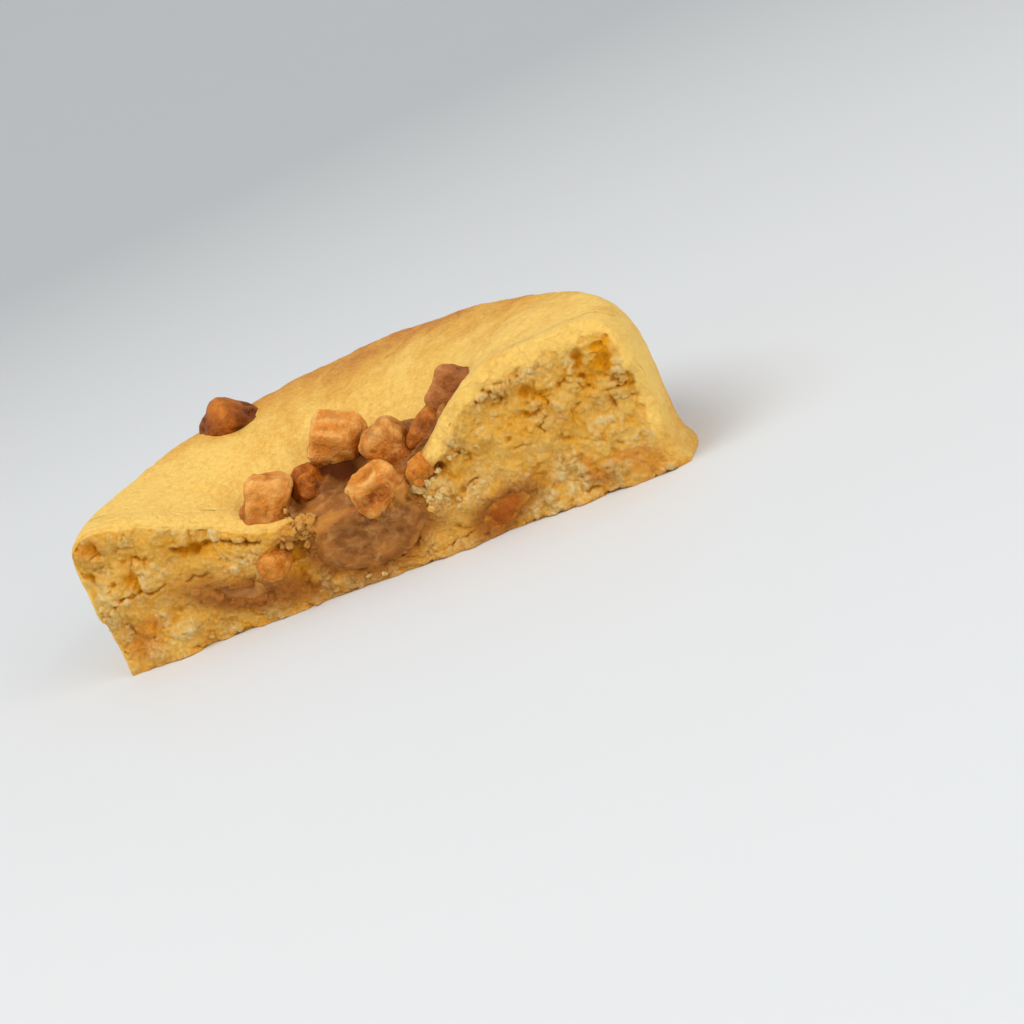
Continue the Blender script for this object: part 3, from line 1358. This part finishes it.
@dataclass
class MeltedCaramel:
    """The caramel that has run out under the cubes, lies between them and comes down over the core."""

    span: tuple[float, float, float, float] = (-19.0, 17.0, -10.4, 17.0)  # left, right, down, back
    columns: int = 280
    rows: int = 215
    dry: tuple[str, ...] = ("cube_rim", "cube_crest", "caramel_chip")  # cubes that no caramel has run from

    def cover(self, x: np.ndarray, run: np.ndarray, height: np.ndarray) -> tuple[np.ndarray, np.ndarray]:
        """Where the film lies, and how it climbs the cubes.

        Each cube's distance is taken from a circle of its mean width. In the bowl the film is a sum of bell
        curves of those distances, a band over the core and a wide spot. Down the break it keeps within the
        core's outline. The climb is e to minus the distance.

        Args:
            x: places along the break.
            run: places from the break's edge backwards, or down the break where negative.
            height: the height of each place.

        Returns:
            The film's share, before its edge is drawn, and the climb from 0 to 1.
        """
        mask, climb = np.zeros_like(x), np.zeros_like(x)
        for cube in CUBES:
            if cube.name in self.dry:
                continue
            radius = (cube.size[0] + cube.size[1]) / 4
            away = np.maximum(np.hypot(x - cube.at[0], run - cube.at[1]) - radius, 0)
            mask += np.exp(-((away / 1.1) ** 2)) * smooth(x + 0.8 * run, -9.5, -6.0)
            climb = np.maximum(climb, np.exp(-away / 0.7))
        flat = np.stack([x, run, 0 * x], axis=-1)
        frayed = 0.3 * ripple(flat, 2.2, 501) + 0.15 * ripple(flat, 0.9, 503)
        bent = x + 4.0 * frayed + 0.5 * run
        over_core = smooth(bent, -9.2, -6.4) * smooth(x, 7.4, 5.0)
        mask += 1.3 * over_core * smooth(run, 7.5, 5.0) + 1.2 * spot(x, run, (-4.5, 6.5, 3.5, 3.5))
        inside = 1.2 * smooth(CORE.ratio(x, height) + 0.35 * frayed, 1.04, 0.84)
        face = smooth(run, -0.2, -1.8)
        in_bowl = np.minimum(mask, 1.3) + frayed
        return in_bowl * (1 - face) + np.minimum(inside, 1.3 * over_core + face) * face, climb

    def build(self, finish: bpy.types.Material) -> bpy.types.Object:
        """Shapes the film along the bowl, round its edge and down the break, and makes its object.

        A place goes up from the bowl or out from the break, turning smoothly between the two at the edge.
        The film is thicker against the cubes and bulges at the front cube's foot. Where there is no film,
        the sheet lies under the crust or the crumb.

        Args:
            finish: the caramel's material.

        Returns:
            The object.
        """
        left, right, near, far = self.span
        lines = np.linspace(left, right, self.columns + 1), np.linspace(near, far, self.rows + 1)
        x, run = np.meshgrid(*lines, indexing="ij")
        y = np.maximum(run, 0)
        height = FORM.ground(x, y) + np.minimum(run, 0) - FORM.sunk(x, y)
        height = np.maximum(height, 0.4)
        mask, climb = self.cover(x, run, height)
        flat = np.stack([x, run, 0 * x], axis=-1)
        swells = 0.34 * ripple(flat, 3.2, 505) + 0.16 * cloud(flat, 1.3, 507)
        film = 0.45 + 0.8 * climb * smooth(run, -0.5, 1.5) + swells
        film = film + 0.5 * spot(x, run, (-4.0, 7.5, 3.0, 3.0))
        foot_flow = spot(x, run, (2.0, -1.0, 3.4, 1.9))
        film += foot_flow * (0.5 + 1.3 * cloud(flat, 1.1, 509))
        thick = -1.7 + (1.7 + film) * smooth(mask, 0.1, 0.8)
        over = smooth(run, -1.5, 1.2)
        sunk = 1.1 * smooth(CORE.ratio(x, height), 0.7, 1.0)
        front = y - (1 - over) * (0.35 + 0.6 * FORM.lumps(x, height) - sunk * smooth(run, -0.5, -2.5))
        foot = np.stack([x, front, height], axis=-1)
        out = np.stack([0 * x, over - 1, over], axis=-1)
        out = out / np.linalg.norm(out, axis=-1, keepdims=True)
        lid, under = foot + out * thick[..., None], foot - out * 2.5
        around = []
        for sheet in (lid, under):
            sides = [sheet[0], sheet[:, -1], sheet[-1, ::-1], sheet[::-1, 0]]
            around.append(np.concatenate([side[:-1] for side in sides] + [sides[0][:1]]))
        skin = Skin.weld([lid, under.swapaxes(0, 1), np.stack([around[1], around[0]])])
        skin.rest_on_floor()
        x, y, z = skin.points.T
        hole = spot(x, y, (-2.6, 7.6, 2.4, 2.2)) + spot(x, y, (-6.0, 9.6, 2.0, 2.0))
        border = smooth(CORE.ratio(x, z), 0.5, 1.0) * smooth(y, 1.5, 0.0)
        orange = spot(x, z, (2.0, 10.6, 3.6, 1.8)) + 0.7 * spot(x, z, (-5.5, 10.8, 2.0, 1.0))
        mottled = 0.5 * smooth(y, 1.0, 4.0) + 0.2 * cloud(skin.points, 2.0, 513)
        skin.values["rim"] = np.clip(border + orange + mottled, 0, 1)
        skin.values["shade"] = np.clip(1.4 * hole, 0, 1) * smooth(y, 2.5, 4.5)
        return skin.piece("melted_caramel", "filling", (), finish)


@dataclass(frozen=True)
class Cluster:
    """A group of loose crumbs stuck on, in mm."""

    x: float  # its middle on the break
    z: float
    spread: tuple[float, float]  # the bell curve's widths along X and Z
    number: int
    size: tuple[float, float]  # least and greatest
    pale: float
    stain: float
    proud: float  # how far they stand out of the break
    y: float | None = None  # how far behind the break they lie, if not on it
    bake: float = 0.1


CLUSTERS = (
    Cluster(14.4, 13.8, (1.2, 0.8), 22, (0.7, 2.0), 1.0, 0.0, -0.35),
    Cluster(10.0, 8.6, (1.1, 1.1), 24, (0.7, 2.0), 1.0, 0.0, -0.3),
    Cluster(12.2, 6.2, (0.9, 0.6), 6, (0.4, 1.0), 0.9, 0.05, -0.1),
    Cluster(-9.0, 10.2, (1.7, 0.6), 34, (0.6, 2.0), 0.5, 0.15, -0.2, None, 0.5),
    Cluster(-7.6, 11.1, (1.9, 0.4), 44, (0.6, 2.0), 0.5, 0.15, 0.0, 0.4, 0.5),
    Cluster(-13.4, 12.4, (1.2, 0.9), 24, (0.3, 0.9), 0.3, 0.0, 0.0, 1.9, 0.3),
    Cluster(-16.6, 7.8, (0.9, 1.3), 10, (0.5, 1.2), 1.0, 0.0, -0.15),
    Cluster(-19.0, 9.8, (1.9, 0.9), 14, (0.5, 1.2), 0.9, 0.0, -0.2),
    Cluster(-4.0, 1.2, (3.6, 0.6), 30, (0.6, 1.6), 0.8, 0.1, -0.2),
    Cluster(-39.0, 5.8, (0.6, 0.5), 6, (0.6, 1.3), 1.0, 0.0, 0.0),
    Cluster(0.0, 0.6, (24.0, 0.3), 30, (0.5, 1.1), 0.35, 0.05, -0.2),
)


@dataclass
class LooseCrumbs:
    """Small lumps of crumb that stick to the broken face, all in one mesh."""

    seed: int = 77
    facets: int = 3

    def lump(self) -> Skin:
        """A ball of a few dozen faces: a box's grid with each point set at the same distance.

        Returns:
            The ball, of unit radius.
        """
        skin = box(np.linspace(-1, 1, self.facets + 1))
        skin.points = skin.points / np.linalg.norm(skin.points, axis=1, keepdims=True)
        return skin

    def build(self, finish: bpy.types.Material) -> bpy.types.Object:
        """Scatters the lumps by the clusters' bell curves and makes one object of them.

        Lumps on the edge, the floor or the caramel are left out. Each of the others is the ball stretched
        along three axes, turned, dented by noise, and set into the face or behind it.

        Args:
            finish: the dough's material.

        Returns:
            The object.
        """
        chance = np.random.default_rng(self.seed)
        ball = self.lump()
        rows = []
        for c in CLUSTERS:
            place = chance.normal(size=(c.number, 2)) * np.array(c.spread) + np.array([c.x, c.z])
            size = c.size[0] + (c.size[1] - c.size[0]) * chance.random(c.number) ** 2.2
            kept = (c.pale, c.stain, c.proud, math.nan if c.y is None else c.y, c.bake)
            rows.append(np.column_stack([place, size, np.full((c.number, 5), kept)]))
        rows = np.concatenate(rows)
        x, z = rows[:, :2].T
        good = (np.abs(x) < 41.0) & (SKIRTING.lip(x, z) < 0.5) & (z > 0.3 * rows[:, 2])
        good &= (PATCH.ratio(x, z) > 1.3) & (SEAM.ratio(x, z) > 1.15)
        good &= CORE.ratio(x, z) > np.where(x < -5, 0.93, 1.05)
        x, z, size, pale, stain, proud, behind, bake = rows[good].T
        count = len(x)
        turn = np.linalg.qr(chance.normal(size=(count, 3, 3)))[0]
        turn[:, :, 0] *= np.sign(np.linalg.det(turn))[:, None]
        stretch = chance.uniform(0.55, 1.2, (count, 3)) * size[:, None] / 2
        y = -FORM.lumps(x, z) - 0.2 + 0.15 * size - proud
        y = np.where(np.isnan(behind), y, behind + 0.5 * chance.normal(size=count))
        centre = np.stack([x, y, z], axis=-1)
        points = np.einsum("nij,pj,nj->npi", turn, ball.points, stretch)
        bend = 0.9 * ripple((points + 40 * chance.random((count, 1, 3))) / size[:, None, None], 0.34, 601)
        points = points * (1 + bend[..., None]) + centre[:, None, :]
        each = len(ball.points)
        faces = (ball.faces[None] + each * np.arange(count)[:, None, None]).reshape(-1, 4)
        skin = Skin(points.reshape(-1, 3), faces, np.zeros(count * each))
        skin.rest_on_floor()
        tone = np.clip(chance.normal(0.62, 0.2, count), 0, 1)
        for key, value in {"tone": tone, "pale": pale * tone, "stain": stain, "bake": bake}.items():
            skin.values[key] = np.repeat(value, each)
        skin.values["pit"] = np.zeros(count * each)
        skin.values["inner"] = np.ones(count * each)
        crumbs = skin.piece("loose_crumbs", "dough", (), finish)
        crumbs.data.polygons.foreach_set("use_smooth", np.zeros(len(faces), bool))
        return crumbs


# Finishes


@dataclass(frozen=True)
class DoughFinish:
    """Baked dough: pale to toasted crust, and crumb from cream to deep yellow, with caramel soaked in."""

    crust_pale: tuple = srgb(247, 202, 104)
    crust_gold: tuple = srgb(228, 169, 70)
    crust_toast: tuple = srgb(198, 124, 46)
    cream: tuple = srgb(255, 222, 152)
    light: tuple = srgb(255, 202, 100)
    crumb: tuple = srgb(250, 179, 57)
    deep: tuple = srgb(255, 172, 12)
    soaked: tuple = srgb(186, 112, 40)
    baked: tuple = srgb(232, 144, 44)
    roughness: float = 0.62

    def material(self) -> bpy.types.Material:
        """Builds the shader: the crust's and the crumb's colours, mixed by the values at the points.

        Returns:
            The material.
        """
        paint = Paint("baked_dough")
        bake, inner, pit = paint.value("bake"), paint.value("inner"), paint.value("pit")
        tone, stain, pale = paint.value("tone"), paint.value("stain"), paint.value("pale")
        mottle = paint.noise(2.2, 4, 0.8, (1, 0.5, 1), 0.62)
        speck = paint.noise(0.6, 4, 0.3, (1, 1, 1), 0.65)
        toast = (bake + (mottle - 0.5) * 0.8 + (speck - 0.5) * 0.9).clamped()
        crust = paint.mix(toast.step(0.0, 0.5), self.crust_pale, self.crust_gold)
        crust = paint.mix(toast.step(0.5, 1.0), crust, self.crust_toast)
        dusty = (tone + (speck - 0.5) * 0.7).clamped()
        crumb = paint.mix(dusty, self.crumb, self.light)
        crumb = paint.mix((pale + speck.step(0.54, 0.7) * 0.35).clamped() * 0.95, crumb, self.cream)
        crumb = paint.mix(bake * 0.85, crumb, self.baked)
        crumb = paint.mix((pit * (0.7 + mottle * 0.6)).clamped(), crumb, self.deep)
        colour = paint.mix(inner, crust, crumb)
        colour = paint.mix((stain * (0.75 + mottle * 0.5)).clamped(), colour, self.soaked)
        skin_grain = paint.noise(0.8, 5, 0.6, (1, 1, 1), 0.65)
        pores = paint.cells(1.1)
        crust_height = skin_grain + pores.step(0.0, 0.3) * 0.25
        crumb_height = paint.noise(0.5, 5, 0.4, (1, 1, 1), 0.7) * 1.5
        relief = paint.bump(crust_height * (1 - inner) + crumb_height * inner, 0.5, 1.0)
        rough = self.roughness - stain * 0.22 + inner * 0.1
        return paint.finish({
            "Base Color": colour, "Roughness": rough, "Normal": relief, "Subsurface Weight": 0.2,
            "Subsurface Radius": (0.7, 0.7, 0.5), "Subsurface Scale": 0.4 * MM, "Specular IOR Level": 0.2,
        })


@dataclass(frozen=True)
class CaramelFinish:
    """Caramel: darker where it has sunk and melted, lighter and duller along its edges."""

    name: str
    light: tuple
    body: tuple
    dark: tuple
    roughness: float
    coat: float

    def material(self) -> bpy.types.Material:
        """Builds the shader from the values "edge" and "low" and drawn-out swirls.

        Returns:
            The material.
        """
        paint = Paint(self.name)
        edge, low = paint.value("edge"), paint.value("low")
        swirl = paint.noise(2.6, 3, 2.2, (1, 0.7, 1.3), 0.55)
        cloudy = paint.noise(0.9, 4, 0.8, (1, 1, 1), 0.6)
        speck = paint.noise(0.22, 2)
        depth = (low * 0.75 + (swirl - 0.5) * 1.8 + (cloudy - 0.5) * 1.6).clamped()
        colour = paint.mix(depth, self.body, self.dark)
        worn = (edge * 0.8 + (cloudy - 0.5) * 1.8 - low * 0.4).clamped()
        colour = paint.mix(worn * 0.85, colour, self.light)
        net = paint.cells(0.9, "Distance", "DISTANCE_TO_EDGE").step(0.0, 0.22)
        height = paint.noise(0.5, 4, 0.6, (1, 1, 1), 0.6) + speck * 0.3 - net * 0.25
        relief = paint.bump(height, 0.36, 1.0)
        rough = (self.roughness + (cloudy - 0.5) * 0.35 + edge * 0.08).clamped()
        return paint.finish({
            "Base Color": colour, "Roughness": rough, "Normal": relief, "Subsurface Weight": 0.3,
            "Subsurface Radius": (1.0, 0.45, 0.15), "Subsurface Scale": 0.6 * MM, "Coat Weight": self.coat,
            "Coat Roughness": 0.22, "Specular IOR Level": 0.12,
        })


CUBE_FINISHES = {
    Softness.FIRM: CaramelFinish(
        "caramel_cube", srgb(255, 196, 112), srgb(224, 140, 50), srgb(140, 68, 12), 0.46, 0.03
    ),
    Softness.DARK: CaramelFinish(
        "dark_caramel_cube", srgb(216, 130, 44), srgb(166, 86, 14), srgb(92, 42, 4), 0.4, 0.06
    ),
    Softness.DULL: CaramelFinish(
        "dull_caramel_cube", srgb(210, 144, 84), srgb(180, 110, 54), srgb(142, 80, 34), 0.55, 0.0
    ),
    Softness.MELTED: CaramelFinish(
        "melted_caramel_lump", srgb(216, 136, 52), srgb(180, 98, 26), srgb(122, 60, 12), 0.4, 0.08
    ),
    Softness.CRUMBLY: CaramelFinish(
        "baked_caramel_bit", srgb(246, 182, 96), srgb(226, 146, 56), srgb(196, 110, 30), 0.75, 0.0
    ),
}


@dataclass(frozen=True)
class FillingFinish:
    """Melted caramel: clouded brown with paler swirls, orange at its border, near black in its gaps."""

    name: str
    pale: tuple
    body: tuple
    dark: tuple
    border: tuple
    roughness: float = 0.38
    hidden: tuple = srgb(82, 34, 2)

    def material(self) -> bpy.types.Material:
        """Builds the shader from long bent swirls and the values "rim" and "shade".

        Returns:
            The material.
        """
        paint = Paint(self.name)
        rim = paint.value("rim")
        swirl = paint.noise(6.0, 3, 1.0, (1, 1, 1.6), 0.5)
        cloudy = paint.noise(1.9, 4, 0.7, (1, 1, 1.4), 0.6)
        colour = paint.mix(swirl.step(0.35, 0.65), self.dark, self.body)
        colour = paint.mix(cloudy.step(0.45, 0.75) * 0.7, colour, self.pale)
        blend = ((rim - 0.6) * 2.4 + (cloudy - 0.5) * 2.2).clamped()
        colour = paint.mix(blend * 0.85, colour, self.border)
        shade = paint.value("shade")
        colour = paint.mix(shade, colour, self.hidden)
        relief = paint.bump(paint.noise(0.8, 4, 0.8, (1, 1, 1), 0.6), 0.3, 0.7)
        rough = (self.roughness + blend * 0.25 + (cloudy - 0.5) * 0.2 + shade).clamped()
        return paint.finish({
            "Base Color": colour, "Roughness": rough,
            "Normal": relief, "Subsurface Weight": 0.5, "Subsurface Radius": (1.0, 0.5, 0.2),
            "Subsurface Scale": 1.2 * MM, "Coat Weight": (1 - shade) * 0.06, "Coat Roughness": 0.22,
            "Specular IOR Level": 0.16,
        })


CORE_FINISH = FillingFinish(
    "caramel_core", srgb(204, 150, 84), srgb(172, 108, 42), srgb(122, 68, 16), srgb(192, 128, 50)
)
PATCH_FINISH = FillingFinish(
    "caramel_patch", srgb(204, 120, 28), srgb(182, 96, 10), srgb(150, 74, 4), srgb(216, 150, 52)
)
SEAM_FINISH = FillingFinish(
    "caramel_seam", srgb(206, 150, 84), srgb(190, 126, 60), srgb(156, 96, 38), srgb(216, 156, 66), 0.55
)


def fill(lens: Lens, rings: int, slices: int, finish: FillingFinish) -> bpy.types.Object:
    """Makes one lens of filling with soft bulges over its front.

    Args:
        lens: its form.
        rings: rows of faces over its front.
        slices: faces round it.
        finish: its look.

    Returns:
        The object.
    """
    skin = lens.skin(rings, slices)
    front = (skin.sheet == 0) * 1.0
    skin.swell(front * (0.3 * ripple(skin.points, 3.0, 701) + 0.16 * cloud(skin.points, 1.3, 703)))
    x, y, z = skin.points.T
    skin.points[:, 2] = np.minimum(z, FORM.ground(x, np.maximum(y, 0)) - 0.8)
    return skin.piece(lens.name + "_flow", "filling", (lens.name,), finish.material())


# The studio


@dataclass(frozen=True)
class Studio:
    """A pale bowl-shaped floor, soft lights and the camera."""

    camera_at: tuple[float, float, float] = (80.82, -254.42, 76.14)
    back: tuple[float, float, float] = (0.2300, -0.9348, 0.2706)
    right: tuple[float, float, float] = (0.9730, 0.2257, -0.0474)
    roll: float = -22.0
    half_angle: float = 14.0
    floor: tuple = srgb(220, 222, 223)

    def camera(self) -> None:
        """Places the camera by its own axes, turned about the line of sight by the roll."""
        back, right = Vector(self.back).normalized(), Vector(self.right).normalized()
        up = back.cross(right).normalized()
        right = up.cross(back)
        turn = math.radians(self.roll)
        turned_right = right * math.cos(turn) + up * math.sin(turn)
        turned_up = up * math.cos(turn) - right * math.sin(turn)
        lens = bpy.data.cameras.new("photo_camera")
        lens.sensor_width = 36.0
        lens.lens = 18.0 / math.tan(math.radians(self.half_angle))
        lens.clip_start, lens.clip_end = 0.01, 50
        camera = bpy.data.objects.new("photo_camera", lens)
        axes = Matrix((turned_right, turned_up, back)).transposed().to_4x4()
        place = (np.array(self.camera_at) - FRAME_ORIGIN) * MM
        camera.matrix_world = Matrix.Translation(Vector(place)) @ axes
        bpy.context.scene.collection.objects.link(camera)
        bpy.context.scene.camera = camera

    def ground(self) -> None:
        """The floor: flat out to 0.7 m, then a quarter circle up to a wall, turned round the middle."""
        bend = np.linspace(0, math.pi / 2, 24)
        radius = np.concatenate([[0.0, 0.1, 0.3, 0.5], 0.7 + 0.8 * np.sin(bend)])
        rise = np.concatenate([[0.0] * 4, 0.8 * (1 - np.cos(bend))])
        angle = np.linspace(0, 2 * math.pi, 97)
        angle[-1] = 0
        across, along = np.outer(np.cos(angle), radius), np.outer(np.sin(angle), radius)
        points = np.stack([across, along, np.outer(0 * angle + 1, rise)], -1)
        skin = Skin.weld([points.swapaxes(0, 1) * FLOOR_SCALE])
        mesh = bpy.data.meshes.new("floor")
        faces = [list(dict.fromkeys(face)) for face in skin.faces.tolist()]
        mesh.from_pydata((skin.points / FLOOR_SCALE).tolist(), [], faces)
        mesh.polygons.foreach_set("use_smooth", np.ones(len(mesh.polygons), bool))
        paint = Paint("floor")
        shade = paint.noise(90, 2)
        tint = paint.mix(shade * 0.3, self.floor, srgb(216, 218, 220))
        inputs = {"Base Color": tint, "Roughness": 0.55, "Specular IOR Level": 0.3}
        mesh.materials.append(paint.finish(inputs))
        floor = bpy.data.objects.new("floor", mesh)
        bpy.context.scene.collection.objects.link(floor)

    def light(
        self, name: str, at: tuple[float, float, float], size: float, watts: float, tint: tuple
    ) -> None:
        """A square soft light at a place in metres, aimed at the part.

        Args:
            name: the lamp's name.
            at: its place in metres.
            size: the length of its edge in metres.
            watts: its power.
            tint: its colour, linear.
        """
        lamp = bpy.data.lights.new(name, "AREA")
        lamp.size, lamp.energy, lamp.color = size, watts, tint
        item = bpy.data.objects.new(name, lamp)
        item.location = at
        item.rotation_euler = (Vector((0, 0, 0.01)) - Vector(at)).to_track_quat("-Z", "Y").to_euler()
        bpy.context.scene.collection.objects.link(item)

    def build(self) -> None:
        """Sets up the floor, the sky, the lights, the camera and the plain view of colours."""
        world = bpy.data.worlds.new("sky")
        world.use_nodes = True
        world.node_tree.nodes["Background"].inputs["Color"].default_value = (0.97, 0.98, 1.0, 1)
        world.node_tree.nodes["Background"].inputs["Strength"].default_value = 0.62
        bpy.context.scene.world = world
        bpy.context.scene.view_settings.view_transform = "Standard"
        bpy.context.scene.view_settings.look = "None"
        self.ground()
        self.light("window", (-0.3, -0.25, 0.62), 0.5, 2.9, (1.0, 0.985, 0.955))
        self.light("room", (0.62, -0.42, 0.36), 0.6, 2.8, (1.0, 0.99, 0.965))
        self.camera()


def main() -> None:
    """Builds the pieces in order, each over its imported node."""
    logging.basicConfig(level=logging.INFO, format="%(message)s")
    dough = DoughFinish().material()
    caramel = {softness: finish.material() for softness, finish in CUBE_FINISHES.items()}
    Crust().build(dough)
    Crumb().build(dough)
    LooseCrumbs().build(dough)
    fill(CORE, 90, 260, CORE_FINISH)
    fill(PATCH, 40, 120, PATCH_FINISH)
    fill(SEAM, 40, 160, SEAM_FINISH)
    for cube in CUBES:
        cube.skin().piece(cube.name + "_soft", "cube", (cube.name,), caramel[cube.softness])
    TOFFEE.skin().piece("toffee_bit_soft", "toffee", ("toffee_bit",), caramel[Softness.CRUMBLY])
    MeltedCaramel().build(CORE_FINISH.material())
    Studio().build()


if __name__ == "__main__":
    main()
